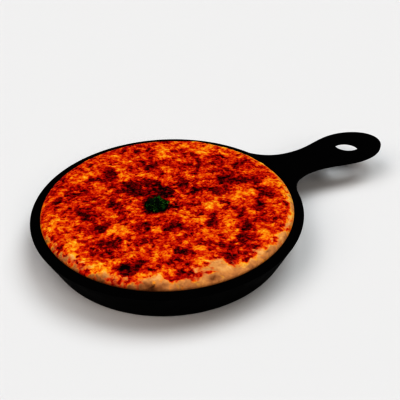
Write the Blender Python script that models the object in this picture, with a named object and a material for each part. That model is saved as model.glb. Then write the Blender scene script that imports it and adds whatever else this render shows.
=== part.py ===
"""Deep dish pizza baked in a small cast-iron skillet, with a heap of chopped herbs on top.

The origin is the centre of the skillet's flat underside. The handle points along +X.
Every length is in metres, so the sizes below are millimetres times MM.
"""
import math
import random

import bmesh
import bpy

MM = 0.001

# Skillet: an eight inch pan with a straight, flared wall
RIM_CORNER_RADIUS = 101.9 * MM
RIM_INNER_RADIUS = 95.0 * MM
RIM_HEIGHT = 27.0 * MM
RIM_ROUNDING = 0.8 * MM
BASE_CORNER_RADIUS = 91.1 * MM
BASE_ROUNDING = 4.5 * MM
FLOOR_THICKNESS = 4.5 * MM
FLOOR_CORNER_RADIUS = 86.9 * MM
FLOOR_ROUNDING = 5.0 * MM

# Handle: flat, a little below the rim, widening to a round end with a hang hole
HANDLE_TOP = 26.6 * MM
HANDLE_THICKNESS = 5.6 * MM
HANDLE_EDGE = 1.9 * MM
HANDLE_TANGENT_RADIUS = 101.5 * MM
HANDLE_TANGENT_ANGLE = 25.0
HANDLE_FADE_ANGLE = 9.0
HANDLE_FADE_DEPTH = 2.9 * MM
HANDLE_ANCHOR_RADIUS = 96.4 * MM
HANDLE_ROOT_PULL = 0.75
HANDLE_NECK_PULL = 0.70
NECK_HALF_WIDTH = 16.1 * MM
NECK_START = 134.0 * MM
HEAD_HALF_WIDTH = 23.6 * MM
HEAD_START = 183.0 * MM
HANDLE_END = 218.5 * MM
HOLE_CENTRE = 182.5 * MM
HOLE_HALF_LENGTH = 11.2 * MM
HOLE_HALF_WIDTH = 10.2 * MM
HOLE_CHAMFER = 0.9 * MM

# Pizza: it fills the pan and stands a little above the rim, with a rounded shoulder
GAP = 0.3 * MM
PIZZA_TOP = 31.0 * MM
SHOULDER_START = 87.0 * MM
PIZZA_EDGE_RADIUS = 94.5 * MM
PIZZA_EDGE_HEIGHT = 27.4 * MM
CRUST_WALL_TOP = 26.2 * MM
BARE_CRUST_DROP = 0.5 * MM
BARE_CRUST_RISE_WIDTH = 1.25 * MM
EDGE_GAP = 0.35 * MM
TOPPING_THICKNESS = 2.2 * MM
TOPPING_EDGE_THICKNESS = 1.2 * MM
TOPPING_RADIUS = 93.0 * MM
EDGE_RIPPLE = 0.5 * MM
EDGE_RIPPLE_COUNT = 7.0
LIP_INSET = 0.15 * MM
LIP_DROP = 0.2 * MM
LIP_RELIEF_SHARE = 0.6
CRUMB_HEIGHT = 0.22 * MM
CRUMB_FADE = 1.5 * MM

# Places where the topping stops short of the edge and bare crust shows.
# Each is the angle, the half angle (degrees) and the depth (mm).
BARE_PLACES = (
    (-123.0, 6.0, 8.0),
    (-101.0, 10.0, 15.0),
    (-92.0, 5.0, 8.0),
    (-80.0, 8.0, 5.0),
    (-65.0, 9.0, 4.5),
    (-146.0, 6.0, 3.0),
    (-32.0, 8.0, 3.0),
)

# Browned blisters in the cheese: centre x and y, half length, half width (mm) and turn (degrees)
BLISTERS = (
    (-27.0, 51.0, 11.0, 5.0, 78.0),
    (-20.0, 25.0, 11.0, 8.0, -35.0),
    (-40.0, 10.0, 10.0, 3.5, 75.0),
    (-60.0, 8.0, 9.0, 6.0, -50.0),
    (-56.0, -12.0, 11.0, 5.0, -10.0),
    (-60.0, -56.0, 5.0, 4.0, 20.0),
    (3.0, 10.0, 12.0, 6.0, -55.0),
    (19.0, 11.0, 9.0, 4.5, -60.0),
    (30.0, -7.0, 13.0, 4.5, -28.0),
    (52.0, 1.0, 10.0, 5.0, 25.0),
    (62.0, -9.0, 9.0, 6.0, -30.0),
    (66.0, -32.0, 9.0, 6.0, -60.0),
    (46.0, 40.0, 12.0, 4.0, 80.0),
    (8.0, 48.0, 8.0, 4.0, 70.0),
    (70.0, 15.0, 7.0, 4.5, 55.0),
    (38.0, 84.0, 7.0, 5.0, -30.0),
    (14.0, -74.0, 7.0, 4.5, 10.0),
    (-12.0, -34.0, 8.0, 6.0, -60.0),
)

# Mounds of melted cheese, in the same form
MOUNDS = (
    (28.0, 66.0, 11.0, 5.0, 75.0),
    (60.0, 63.0, 9.0, 7.0, 30.0),
    (53.0, 46.0, 12.0, 7.0, 20.0),
    (15.0, 35.0, 7.0, 6.0, 60.0),
    (-17.0, 48.0, 9.0, 4.0, 65.0),
    (-84.0, 10.0, 14.0, 5.0, 80.0),
    (-80.0, -18.0, 10.0, 7.0, 70.0),
    (-46.0, -22.0, 9.0, 6.0, -60.0),
    (0.0, -32.0, 12.0, 6.0, -55.0),
    (50.0, -25.0, 10.0, 7.0, 20.0),
    (22.0, -26.0, 8.0, 5.0, -15.0),
    (38.0, -71.0, 8.0, 4.0, 45.0),
    (72.0, -46.0, 10.0, 6.0, 50.0),
    (-72.0, -46.0, 9.0, 7.0, -45.0),
)
BLISTER_HEIGHT = 0.9 * MM
MOUND_HEIGHT = 0.8 * MM
LUMP_COUNT = 90
LUMP_HEIGHT = 0.45 * MM
LUMP_LEAST_REACH = 4.0 * MM
LUMP_MOST_REACH = 8.0 * MM
LUMP_SEED = 11
RELIEF_FLOOR = -0.8 * MM

# Herbs: a small heap of chopped leaves near the middle
HERB_X = -13.0 * MM
HERB_Y = -7.0 * MM
HERB_SEAT_RADIUS = 12.5 * MM
HERB_SEAT_BLEND = 4.0 * MM
HERB_CORE_RADIUS = 7.8 * MM
HERB_CORE_HEIGHT = 3.0 * MM
HERB_CORE_SIDES = 16
LEAF_COUNT = 15
LEAF_LENGTH = 7.8 * MM
LEAF_WIDTH = 4.8 * MM
LEAF_THICKNESS = 0.7 * MM
LEAF_CLEARANCE = 0.05 * MM
LEAF_CELLS_LONG = 4
LEAF_CELLS_WIDE = 2
HERB_SEED = 5

# Facets
ROUND_SIDES = 84
ROUNDING_FACET = 1.2 * MM
HANDLE_EDGE_STEPS = 2
HANDLE_FADE_STEPS = 3
HANDLE_ROOT_STEPS = 8
HANDLE_NECK_STEPS = 6
HANDLE_END_STEPS = 9
HANDLE_INNER_STEPS = 8
HOLE_SIDES = 32
TOPPING_RINGS = 23
UNDER_RINGS = 6


def clear_scene():
    """Remove every object that the file starts with."""
    for item in list(bpy.data.objects):
        bpy.data.objects.remove(item, do_unlink=True)


def material(name, colour, roughness, metallic=0.0):
    """A plain Principled material."""
    made = bpy.data.materials.new(name)
    made.use_nodes = True
    shader = made.node_tree.nodes["Principled BSDF"]
    shader.inputs["Base Color"].default_value = (*colour, 1.0)
    shader.inputs["Roughness"].default_value = roughness
    shader.inputs["Metallic"].default_value = metallic
    made.diffuse_color = (*colour, 1.0)
    return made


def add_object(name, mesh_data, look=None, collection=None):
    """Link a mesh as a smooth shaded object."""
    mesh = bpy.data.meshes.new(name)
    mesh_data.to_mesh(mesh)
    mesh_data.free()
    item = bpy.data.objects.new(name, mesh)
    (collection or bpy.context.scene.collection).objects.link(item)
    if look:
        mesh.materials.append(look)
    mesh.shade_smooth()
    return item


def smoothstep(value):
    """Ease from 0 to 1."""
    value = min(max(value, 0.0), 1.0)
    return value * value * (3.0 - 2.0 * value)


def skin_rings(rings, first_pole=None, last_pole=None):
    """Close a stack of rings with equal counts into one solid, with a pole or a flat cap at each end."""
    solid = bmesh.new()
    loops = [[solid.verts.new(point) for point in ring] for ring in rings]
    count = len(loops[0])
    for low, high in zip(loops, loops[1:]):
        for i in range(count):
            j = (i + 1) % count
            solid.faces.new((low[i], low[j], high[j]))
            solid.faces.new((low[i], high[j], high[i]))
    for loop, pole in ((loops[0], first_pole), (loops[-1], last_pole)):
        if pole is None:
            solid.faces.new(loop)
            continue
        tip = solid.verts.new(pole)
        for i in range(count):
            solid.faces.new((loop[i], loop[(i + 1) % count], tip))
    bmesh.ops.recalc_face_normals(solid, faces=solid.faces)
    return solid


def rounded_profile(corners):
    """Points of a profile whose corners, each (radius, height, rounding), are rounded by short arcs."""
    points = []
    for index, (x, z, rounding) in enumerate(corners):
        if rounding == 0.0:
            points.append((x, z))
            continue
        before = corners[index - 1]
        after = corners[index + 1]
        back = math.atan2(before[1] - z, before[0] - x)
        ahead = math.atan2(after[1] - z, after[0] - x)
        opening = (ahead - back + math.pi) % (2.0 * math.pi) - math.pi
        middle = back + opening / 2.0
        half = abs(opening) / 2.0
        centre_x = x + rounding / math.sin(half) * math.cos(middle)
        centre_z = z + rounding / math.sin(half) * math.sin(middle)
        sweep = math.pi - abs(opening)
        start = back - math.copysign(math.pi / 2.0, opening)
        steps = max(2, round(rounding / ROUNDING_FACET))
        for step in range(steps + 1):
            angle = start - math.copysign(sweep, opening) * step / steps
            points.append((centre_x + rounding * math.cos(angle), centre_z + rounding * math.sin(angle)))
    return points


def circle(radius, height, sides=ROUND_SIDES):
    """A level ring of points."""
    return [
        (radius * math.cos(2.0 * math.pi * i / sides), radius * math.sin(2.0 * math.pi * i / sides), height)
        for i in range(sides)
    ]


def turned(profile):
    """A solid of revolution whose profile starts and ends on the axis."""
    rings = [circle(radius, height) for radius, height in profile[1:-1]]
    return skin_rings(rings, (0.0, 0.0, profile[0][1]), (0.0, 0.0, profile[-1][1]))


def apply_boolean(item, step):
    """Make a Boolean's result the object's own mesh."""
    step.solver = "EXACT"
    view = bpy.context.evaluated_depsgraph_get()
    result = bpy.data.meshes.new_from_object(item.evaluated_get(view))
    item.modifiers.remove(step)
    item.data = result
    item.data.shade_smooth()


def combine(item, other, operation):
    """Join another solid to an object, or cut it away, and remove the other."""
    step = item.modifiers.new(operation.lower(), "BOOLEAN")
    step.operation = operation
    step.object = other
    apply_boolean(item, step)
    bpy.data.objects.remove(other, do_unlink=True)


def fuse_collection(item, pieces):
    """Join every object of a collection to an object, and remove the collection with them."""
    step = item.modifiers.new("fuse", "BOOLEAN")
    step.operation = "UNION"
    step.operand_type = "COLLECTION"
    step.collection = pieces
    apply_boolean(item, step)
    for piece in list(pieces.objects):
        bpy.data.objects.remove(piece, do_unlink=True)
    bpy.data.collections.remove(pieces)


# Skillet


def skillet_profile():
    """The casting's section: underside, outer wall, rim, inner wall and floor."""
    return rounded_profile((
        (0.0, 0.0, 0.0),
        (BASE_CORNER_RADIUS, 0.0, BASE_ROUNDING),
        (RIM_CORNER_RADIUS, RIM_HEIGHT, RIM_ROUNDING),
        (RIM_INNER_RADIUS, RIM_HEIGHT, RIM_ROUNDING),
        (FLOOR_CORNER_RADIUS, FLOOR_THICKNESS, FLOOR_ROUNDING),
        (0.0, FLOOR_THICKNESS, 0.0),
    ))


def polar(radius, degrees):
    """A point in plan."""
    return radius * math.cos(math.radians(degrees)), radius * math.sin(math.radians(degrees))


def handle_side():
    """One side of the handle in plan, from inside the wall out to the tip."""
    points = [polar(HANDLE_ANCHOR_RADIUS, HANDLE_TANGENT_ANGLE + HANDLE_FADE_ANGLE)]
    for step in range(HANDLE_FADE_STEPS):
        part = 1.0 - step / HANDLE_FADE_STEPS
        radius = HANDLE_TANGENT_RADIUS - HANDLE_FADE_DEPTH * part ** 2
        points.append(polar(radius, HANDLE_TANGENT_ANGLE + HANDLE_FADE_ANGLE * part))

    # Root: a curve that leaves along the rim and ends along the neck
    start = polar(HANDLE_TANGENT_RADIUS, HANDLE_TANGENT_ANGLE)
    end = (NECK_START, NECK_HALF_WIDTH)
    slope = math.radians(HANDLE_TANGENT_ANGLE - 90.0)
    corner_x = start[0] + (end[1] - start[1]) / math.tan(slope)
    corner = (corner_x, end[1])
    first = [start[k] + HANDLE_ROOT_PULL * (corner[k] - start[k]) for k in range(2)]
    second = [end[k] + HANDLE_NECK_PULL * (corner[k] - end[k]) for k in range(2)]
    for step in range(HANDLE_ROOT_STEPS):
        t = step / HANDLE_ROOT_STEPS
        weights = ((1 - t) ** 3, 3 * t * (1 - t) ** 2, 3 * t * t * (1 - t), t ** 3)
        points.append(tuple(
            sum(weight * node[k] for weight, node in zip(weights, (start, first, second, end)))
            for k in range(2)
        ))

    # Neck widening into the head
    for step in range(HANDLE_NECK_STEPS):
        t = step / HANDLE_NECK_STEPS
        ease = 0.5 - 0.5 * math.cos(math.pi * t)
        x = NECK_START + (HEAD_START - NECK_START) * t
        points.append((x, NECK_HALF_WIDTH + (HEAD_HALF_WIDTH - NECK_HALF_WIDTH) * ease))

    # Rounded end
    for step in range(HANDLE_END_STEPS):
        angle = math.pi / 2.0 * (1.0 - step / HANDLE_END_STEPS)
        x = HEAD_START + (HANDLE_END - HEAD_START) * math.cos(angle)
        points.append((x, HEAD_HALF_WIDTH * math.sin(angle)))
    return points


def handle_outline():
    """The closed outline in plan, anticlockwise, and how many points lie along the inner end."""
    side = handle_side()
    lower = [(x, -y) for x, y in side]
    outline = lower + [(HANDLE_END, 0.0)] + side[::-1]
    anchor = HANDLE_TANGENT_ANGLE + HANDLE_FADE_ANGLE
    inner = [polar(HANDLE_ANCHOR_RADIUS, anchor - 2.0 * anchor * step / HANDLE_INNER_STEPS)
             for step in range(1, HANDLE_INNER_STEPS)]
    return outline + inner, len(inner)


def inset(outline, kept, distance):
    """Move an outline inwards, except the inner end that is buried in the wall."""
    moved = []
    count = len(outline)
    for index, (x, y) in enumerate(outline):
        if index >= count - kept or index == 0 or index == count - kept - 1:
            moved.append((x, y))
            continue
        before = outline[index - 1]
        after = outline[(index + 1) % count]
        along_x = after[0] - before[0]
        along_y = after[1] - before[1]
        length = math.hypot(along_x, along_y)
        moved.append((x - distance * along_y / length, y + distance * along_x / length))
    return moved


def handle_solid():
    """The handle as a slab with rounded edges."""
    outline, kept = handle_outline()
    bottom = HANDLE_TOP - HANDLE_THICKNESS
    levels = []
    for step in range(HANDLE_EDGE_STEPS + 1):
        angle = math.pi / 2.0 * step / HANDLE_EDGE_STEPS
        levels.append((HANDLE_EDGE * (1.0 - math.sin(angle)), HANDLE_EDGE * (1.0 - math.cos(angle))))
    layers = [(depth, bottom + rise) for depth, rise in levels]
    layers += [(depth, HANDLE_TOP - rise) for depth, rise in levels[::-1]]
    rings = [[(x, y, z) for x, y in inset(outline, kept, depth)] for depth, z in layers]
    return skin_rings(rings)


def hole_cutter():
    """The hang hole with a chamfer at both faces."""
    bottom = HANDLE_TOP - HANDLE_THICKNESS
    clear = 1.0 * MM
    layers = (
        (HOLE_CHAMFER + clear, bottom - clear),
        (0.0, bottom + HOLE_CHAMFER),
        (0.0, HANDLE_TOP - HOLE_CHAMFER),
        (HOLE_CHAMFER + clear, HANDLE_TOP + clear),
    )
    rings = []
    for widening, z in layers:
        ring = []
        for i in range(HOLE_SIDES):
            angle = 2.0 * math.pi * i / HOLE_SIDES
            x = HOLE_CENTRE + (HOLE_HALF_LENGTH + widening) * math.cos(angle)
            ring.append((x, (HOLE_HALF_WIDTH + widening) * math.sin(angle), z))
        rings.append(ring)
    return skin_rings(rings)


def build_skillet():
    """One casting: pan, handle and hang hole."""
    iron = material("seasoned_iron", (0.012, 0.012, 0.013), 0.55, 0.3)
    skillet = add_object("skillet", turned(skillet_profile()), iron)
    combine(skillet, add_object("handle_blank", handle_solid()), "UNION")
    combine(skillet, add_object("hang_hole", hole_cutter()), "DIFFERENCE")
    return skillet


# Pizza surfaces


def shoulder(radius):
    """Height of the pizza's top without its relief."""
    reach = (radius - SHOULDER_START) / (PIZZA_EDGE_RADIUS - SHOULDER_START)
    reach = min(max(reach, 0.0), 1.0)
    return PIZZA_EDGE_HEIGHT + (PIZZA_TOP - PIZZA_EDGE_HEIGHT) * math.sqrt(1.0 - reach * reach)


def topping_edge(degrees):
    """Radius at which the topping ends."""
    radius = TOPPING_RADIUS
    for middle, half_angle, depth in BARE_PLACES:
        away = (degrees - middle + 180.0) % 360.0 - 180.0
        radius -= depth * MM * math.exp(-(away / half_angle) ** 2)
    return radius - EDGE_RIPPLE * (1.0 + math.sin(math.radians(EDGE_RIPPLE_COUNT * degrees)))


def make_lumps():
    """Seeded lumps and hollows spread over the topping: centre, reach and height."""
    chance = random.Random(LUMP_SEED)
    lumps = []
    for _ in range(LUMP_COUNT):
        radius = TOPPING_RADIUS * math.sqrt(chance.random())
        x, y = polar(radius, chance.uniform(0.0, 360.0))
        reach = chance.uniform(LUMP_LEAST_REACH, LUMP_MOST_REACH)
        lumps.append((x, y, reach, chance.uniform(-1.0, 1.0) * LUMP_HEIGHT))
    return lumps


def oval_weight(x, y, oval):
    """How strongly a named oval acts at a point, 1 in its middle."""
    centre_x, centre_y, half_length, half_width, turn = oval
    cosine = math.cos(math.radians(turn))
    sine = math.sin(math.radians(turn))
    across_x = x / MM - centre_x
    across_y = y / MM - centre_y
    along = (across_x * cosine + across_y * sine) / half_length
    aside = (across_y * cosine - across_x * sine) / half_width
    return math.exp(-(along * along + aside * aside))


def relief(x, y, lumps):
    """Height of blisters, mounds and lumps over the plain top."""
    height = 0.0
    for oval in BLISTERS:
        height += BLISTER_HEIGHT * oval_weight(x, y, oval)
    for oval in MOUNDS:
        height += MOUND_HEIGHT * oval_weight(x, y, oval)
    for centre_x, centre_y, reach, rise in lumps:
        height += rise * math.exp(-((x - centre_x) ** 2 + (y - centre_y) ** 2) / reach ** 2)
    height = max(height, RELIEF_FLOOR)
    seat = math.hypot(x - HERB_X, y - HERB_Y)
    return height * smoothstep((seat - HERB_SEAT_RADIUS) / HERB_SEAT_BLEND)


def under_height(share, radius):
    """Height of the topping's underside at a share of its reach."""
    thickness = TOPPING_THICKNESS + (TOPPING_EDGE_THICKNESS - TOPPING_THICKNESS) * share ** 6
    return shoulder(radius) - thickness


def slope_allowance(radius):
    """Upright distance that keeps the gap square to a sloping surface."""
    step = 0.1 * MM
    slope = (shoulder(radius + step) - shoulder(radius - step)) / (2.0 * step)
    return GAP * math.sqrt(1.0 + slope * slope)


def angles():
    """The directions that crust and topping share."""
    return [360.0 * i / ROUND_SIDES for i in range(ROUND_SIDES)]


def pizza_ring(radius_at, height_at):
    """A ring with its own radius and height in every direction."""
    ring = []
    for degrees in angles():
        radius = radius_at(degrees)
        x, y = polar(radius, degrees)
        ring.append((x, y, height_at(radius, x, y, degrees)))
    return ring


def build_topping():
    """Sauce and browned cheese, lying on the crust."""
    lumps = make_lumps()
    rings = []
    for step in range(1, TOPPING_RINGS):
        share = 1.0 - (1.0 - step / TOPPING_RINGS) ** 1.15
        rings.append(pizza_ring(
            lambda degrees, part=share: part * topping_edge(degrees),
            lambda radius, x, y, degrees: shoulder(radius) + relief(x, y, lumps),
        ))
    rings.append(pizza_ring(
        lambda degrees: topping_edge(degrees) - LIP_INSET,
        lambda radius, x, y, degrees: shoulder(radius) - LIP_DROP + LIP_RELIEF_SHARE * relief(x, y, lumps),
    ))
    rings.append(pizza_ring(
        topping_edge,
        lambda radius, x, y, degrees: shoulder(radius) - 0.6 * TOPPING_EDGE_THICKNESS,
    ))
    for step in range(UNDER_RINGS, 0, -1):
        share = step / UNDER_RINGS
        rings.append(pizza_ring(
            lambda degrees, part=share: part * topping_edge(degrees),
            lambda radius, x, y, degrees, part=share: under_height(part, radius),
        ))
    top = (0.0, 0.0, shoulder(0.0) + relief(0.0, 0.0, lumps))
    bottom = (0.0, 0.0, under_height(0.0, 0.0))
    cheese = material("browned_cheese", (0.62, 0.075, 0.012), 0.5)
    return add_object("topping", skin_rings(rings, top, bottom), cheese)


def cavity_corners():
    """The pan's inner section, moved inwards by the gap: rounded floor corner and wall top."""
    flare = math.atan2(RIM_INNER_RADIUS - FLOOR_CORNER_RADIUS, RIM_HEIGHT - FLOOR_THICKNESS)
    floor = FLOOR_THICKNESS + GAP

    def wall(height):
        return FLOOR_CORNER_RADIUS + (height - FLOOR_THICKNESS) * math.tan(flare) - GAP / math.cos(flare)

    return (
        (0.0, floor, 0.0),
        (wall(floor), floor, FLOOR_ROUNDING - GAP),
        (wall(CRUST_WALL_TOP), CRUST_WALL_TOP, 0.0),
    )


def crumb(degrees, radius):
    """Soft swelling of the bare crust."""
    wave = math.sin(math.radians(5.0 * degrees)) + 0.7 * math.sin(math.radians(13.0 * degrees + 40.0))
    return CRUMB_HEIGHT * wave * smoothstep((PIZZA_EDGE_RADIUS - radius) / CRUMB_FADE)


def bare_radius(degrees, share):
    """Radius on the bare crust at a share of the way from its rise beside the topping to the edge."""
    inner = topping_edge(degrees) + EDGE_GAP
    start = inner + min(BARE_CRUST_RISE_WIDTH, 0.4 * (PIZZA_EDGE_RADIUS - inner))
    return start + (PIZZA_EDGE_RADIUS - start) * share


def build_crust():
    """The baked dough: flat below, following the pan's wall, bare along part of its edge."""
    rings = []
    for step in range(1, UNDER_RINGS + 1):
        share = step / UNDER_RINGS
        rings.append(pizza_ring(
            lambda degrees, part=share: part * topping_edge(degrees),
            lambda radius, x, y, degrees, part=share: under_height(part, radius) - slope_allowance(radius),
        ))
    rings.append(pizza_ring(
        lambda degrees: topping_edge(degrees) + EDGE_GAP,
        lambda radius, x, y, degrees: under_height(1.0, radius) - slope_allowance(radius),
    ))
    for share in (0.0, 0.5, 0.85):
        rings.append(pizza_ring(
            lambda degrees, part=share: bare_radius(degrees, part),
            lambda radius, x, y, degrees: shoulder(radius) - BARE_CRUST_DROP + crumb(degrees, radius),
        ))
    rings.append(circle(PIZZA_EDGE_RADIUS, PIZZA_EDGE_HEIGHT - BARE_CRUST_DROP))
    profile = rounded_profile(cavity_corners())
    for radius, height in profile[:0:-1]:
        rings.append(circle(radius, height))
    top = (0.0, 0.0, under_height(0.0, 0.0) - GAP)
    bottom = (0.0, 0.0, FLOOR_THICKNESS + GAP)
    dough = material("baked_dough", (0.70, 0.36, 0.14), 0.7)
    return add_object("crust", skin_rings(rings, top, bottom), dough)


# Herbs


def leaf_solid(centre, turn, lift, twist, length, width):
    """A thin wavy leaf with both faces split into triangles alike."""
    solid = bmesh.new()
    faces = []
    for side in (1.0, -1.0):
        grid = []
        for i in range(LEAF_CELLS_LONG + 1):
            along = 2.0 * i / LEAF_CELLS_LONG - 1.0
            half = 0.5 * width * (1.0 - 0.75 * along * along)
            row = []
            for j in range(LEAF_CELLS_WIDE + 1):
                aside = 2.0 * j / LEAF_CELLS_WIDE - 1.0
                wave = 0.14 * length * math.sin(2.4 * along + twist) + 0.12 * width * aside * aside
                local_x = 0.5 * length * along
                local_y = half * aside
                local_z = wave + side * 0.5 * LEAF_THICKNESS
                tilted_x = local_x * math.cos(lift) - local_z * math.sin(lift)
                tilted_z = local_x * math.sin(lift) + local_z * math.cos(lift)
                row.append(solid.verts.new((
                    centre[0] + tilted_x * math.cos(turn) - local_y * math.sin(turn),
                    centre[1] + tilted_x * math.sin(turn) + local_y * math.cos(turn),
                    centre[2] + tilted_z,
                )))
            grid.append(row)
        faces.append(grid)
        for i in range(LEAF_CELLS_LONG):
            for j in range(LEAF_CELLS_WIDE):
                corners = (grid[i][j], grid[i + 1][j], grid[i + 1][j + 1], grid[i][j + 1])
                solid.faces.new((corners[0], corners[1], corners[2]))
                solid.faces.new((corners[0], corners[2], corners[3]))
    top, under = faces
    border = [(i, 0) for i in range(LEAF_CELLS_LONG)]
    border += [(LEAF_CELLS_LONG, j) for j in range(LEAF_CELLS_WIDE)]
    border += [(i, LEAF_CELLS_WIDE) for i in range(LEAF_CELLS_LONG, 0, -1)]
    border += [(0, j) for j in range(LEAF_CELLS_WIDE, 0, -1)]
    for (i, j), (k, m) in zip(border, border[1:] + border[:1]):
        solid.faces.new((top[i][j], top[k][m], under[k][m], under[i][j]))
    bmesh.ops.recalc_face_normals(solid, faces=solid.faces)
    return solid


def herb_core():
    """A low mound with a flat underside that the leaves lie on."""
    shape = ((1.0, 0.0), (1.0, 0.30), (0.80, 0.75), (0.40, 1.0))
    rings = [circle(HERB_CORE_RADIUS * width, HERB_CORE_HEIGHT * rise, HERB_CORE_SIDES) for width, rise in shape]
    return skin_rings(rings, (0.0, 0.0, 0.0), (0.0, 0.0, 1.05 * HERB_CORE_HEIGHT))


def lowest_point(solid):
    """Height of a loose mesh's lowest vertex."""
    return min(vertex.co.z for vertex in solid.verts)


def build_herbs():
    """Chopped leaves fused to the mound, spread in a spiral from its top to its foot."""
    chance = random.Random(HERB_SEED)
    green = material("chopped_herbs", (0.006, 0.045, 0.004), 0.6)
    herbs = add_object("herbs", herb_core(), green)
    leaves = bpy.data.collections.new("leaves")
    bpy.context.scene.collection.children.link(leaves)
    for index in range(LEAF_COUNT):
        share = (index + 0.5) / LEAF_COUNT
        spread = (HERB_CORE_RADIUS + 0.6 * MM) * math.sqrt(share)
        around = index * math.radians(137.5)
        rise = HERB_CORE_HEIGHT * (1.15 - 0.85 * share)
        leaf = leaf_solid(
            (spread * math.cos(around), spread * math.sin(around), rise),
            around + chance.uniform(-1.2, 1.2),
            chance.uniform(-0.45, 0.25),
            chance.uniform(0.0, 3.0),
            LEAF_LENGTH * chance.uniform(0.75, 1.15),
            LEAF_WIDTH * chance.uniform(0.8, 1.2),
        )
        sunk = LEAF_CLEARANCE - lowest_point(leaf)
        if sunk > 0.0:
            bmesh.ops.translate(leaf, verts=leaf.verts, vec=(0.0, 0.0, sunk))
        add_object("leaf", leaf, green, leaves)
    fuse_collection(herbs, leaves)
    herbs.location = (HERB_X, HERB_Y, PIZZA_TOP + GAP)
    return herbs


def main():
    """Build the skillet and the pizza in it, all carried by one empty."""
    clear_scene()
    root = bpy.data.objects.new("deep_dish_pizza", None)
    bpy.context.scene.collection.objects.link(root)
    for item in (build_skillet(), build_crust(), build_topping(), build_herbs()):
        item.parent = root


main()
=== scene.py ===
import math
import random

import bmesh
import bpy
import numpy as np
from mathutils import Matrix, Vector


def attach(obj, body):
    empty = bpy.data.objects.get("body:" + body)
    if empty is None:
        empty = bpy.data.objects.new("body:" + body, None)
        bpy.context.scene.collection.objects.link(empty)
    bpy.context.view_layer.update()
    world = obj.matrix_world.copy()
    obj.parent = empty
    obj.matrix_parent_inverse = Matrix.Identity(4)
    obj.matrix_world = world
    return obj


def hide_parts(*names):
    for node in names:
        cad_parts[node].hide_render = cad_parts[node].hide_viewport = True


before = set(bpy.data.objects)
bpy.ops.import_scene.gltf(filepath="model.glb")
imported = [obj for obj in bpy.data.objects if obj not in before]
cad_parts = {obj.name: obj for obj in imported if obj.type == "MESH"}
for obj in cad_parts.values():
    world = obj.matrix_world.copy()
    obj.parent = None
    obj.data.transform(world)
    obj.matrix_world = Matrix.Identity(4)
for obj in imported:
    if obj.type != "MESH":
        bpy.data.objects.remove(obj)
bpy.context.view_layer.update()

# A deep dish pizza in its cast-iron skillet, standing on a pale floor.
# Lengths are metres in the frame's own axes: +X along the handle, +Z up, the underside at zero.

MM = 0.001
BODY = "root"

# Skillet sizes, as in the solids
RIM_CORNER_RADIUS = 101.9 * MM
RIM_INNER_RADIUS = 95.0 * MM
RIM_HEIGHT = 27.0 * MM
RIM_ROUNDING = 0.8 * MM
BASE_CORNER_RADIUS = 91.1 * MM
BASE_ROUNDING = 4.5 * MM
FLOOR_THICKNESS = 4.5 * MM
FLOOR_CORNER_RADIUS = 86.9 * MM
FLOOR_ROUNDING = 5.0 * MM
HANDLE_TOP = 26.6 * MM
HANDLE_THICKNESS = 5.6 * MM
HANDLE_EDGE = 1.9 * MM
HANDLE_TANGENT_RADIUS = 101.5 * MM
HANDLE_TANGENT_ANGLE = 25.0
HANDLE_FADE_ANGLE = 9.0
HANDLE_FADE_DEPTH = 2.9 * MM
HANDLE_ANCHOR_RADIUS = 96.4 * MM
HANDLE_ROOT_PULL = 0.75
HANDLE_NECK_PULL = 0.70
NECK_HALF_WIDTH = 16.1 * MM
NECK_START = 134.0 * MM
HEAD_HALF_WIDTH = 23.6 * MM
HEAD_START = 183.0 * MM
HANDLE_END = 218.5 * MM
HOLE_CENTRE = 182.5 * MM
HOLE_HALF_LENGTH = 11.2 * MM
HOLE_HALF_WIDTH = 10.2 * MM
HOLE_CHAMFER = 0.9 * MM

# Pizza sizes, as in the solids
GAP = 0.3 * MM
PIZZA_TOP = 31.0 * MM
SHOULDER_START = 87.0 * MM
PIZZA_EDGE_RADIUS = 94.5 * MM
PIZZA_EDGE_HEIGHT = 27.4 * MM
CRUST_WALL_TOP = 26.2 * MM
BARE_CRUST_DROP = 0.5 * MM
TOPPING_THICKNESS = 2.2 * MM
EDGE_WAVE = 0.5 * MM
EDGE_WAVE_COUNT = 7.0
EDGE_DIP = 0.50 * MM
EDGE_DIP_WIDTH = 2.5 * MM
EDGE_THICKNESS = 0.15 * MM
FEATHER_WIDTH = 5.0 * MM
CRUST_LIP_DROP = 0.30 * MM
CRUST_LIP_WIDTH = 4.0 * MM
TOPPING_RADIUS = 93.0 * MM
BLISTER_HEIGHT = 0.9 * MM
MOUND_HEIGHT = 0.8 * MM
LUMP_COUNT = 90
LUMP_HEIGHT = 0.45 * MM
LUMP_SMALLEST = 4.0 * MM
LUMP_LARGEST = 8.0 * MM
LOWEST_HOLLOW = -0.8 * MM
LUMP_SEED = 11
HERB_X = -13.0 * MM
HERB_Y = -7.0 * MM
HERB_SEAT_RADIUS = 12.5 * MM
HERB_SEAT_BLEND = 4.0 * MM

# Places where bare crust shows: angle, half angle (degrees) and depth (mm)
BARE_PLACES = (
    (-123, 6, 8),
    (-101, 10, 15),
    (-92, 5, 8),
    (-80, 8, 5),
    (-65, 9, 4.5),
    (-146, 6, 3),
    (-32, 8, 3),
)

# Browned blisters: centre x and y, half length, half width (mm) and turn (degrees)
BLISTERS = (
    (-27, 51, 11, 5, 78), (-20, 25, 11, 8, -35), (-40, 10, 10, 3.5, 75), (-60, 8, 9, 6, -50),
    (-56, -12, 11, 5, -10), (-60, -56, 5, 4, 20), (3, 10, 12, 6, -55), (19, 11, 9, 4.5, -60),
    (30, -7, 13, 4.5, -28), (52, 1, 10, 5, 25), (62, -9, 9, 6, -30), (66, -32, 9, 6, -60),
    (46, 40, 12, 4, 80), (8, 48, 8, 4, 70), (70, 15, 7, 4.5, 55), (38, 84, 7, 5, -30),
    (14, -74, 7, 4.5, 10), (-12, -34, 8, 6, -60),
)

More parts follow.
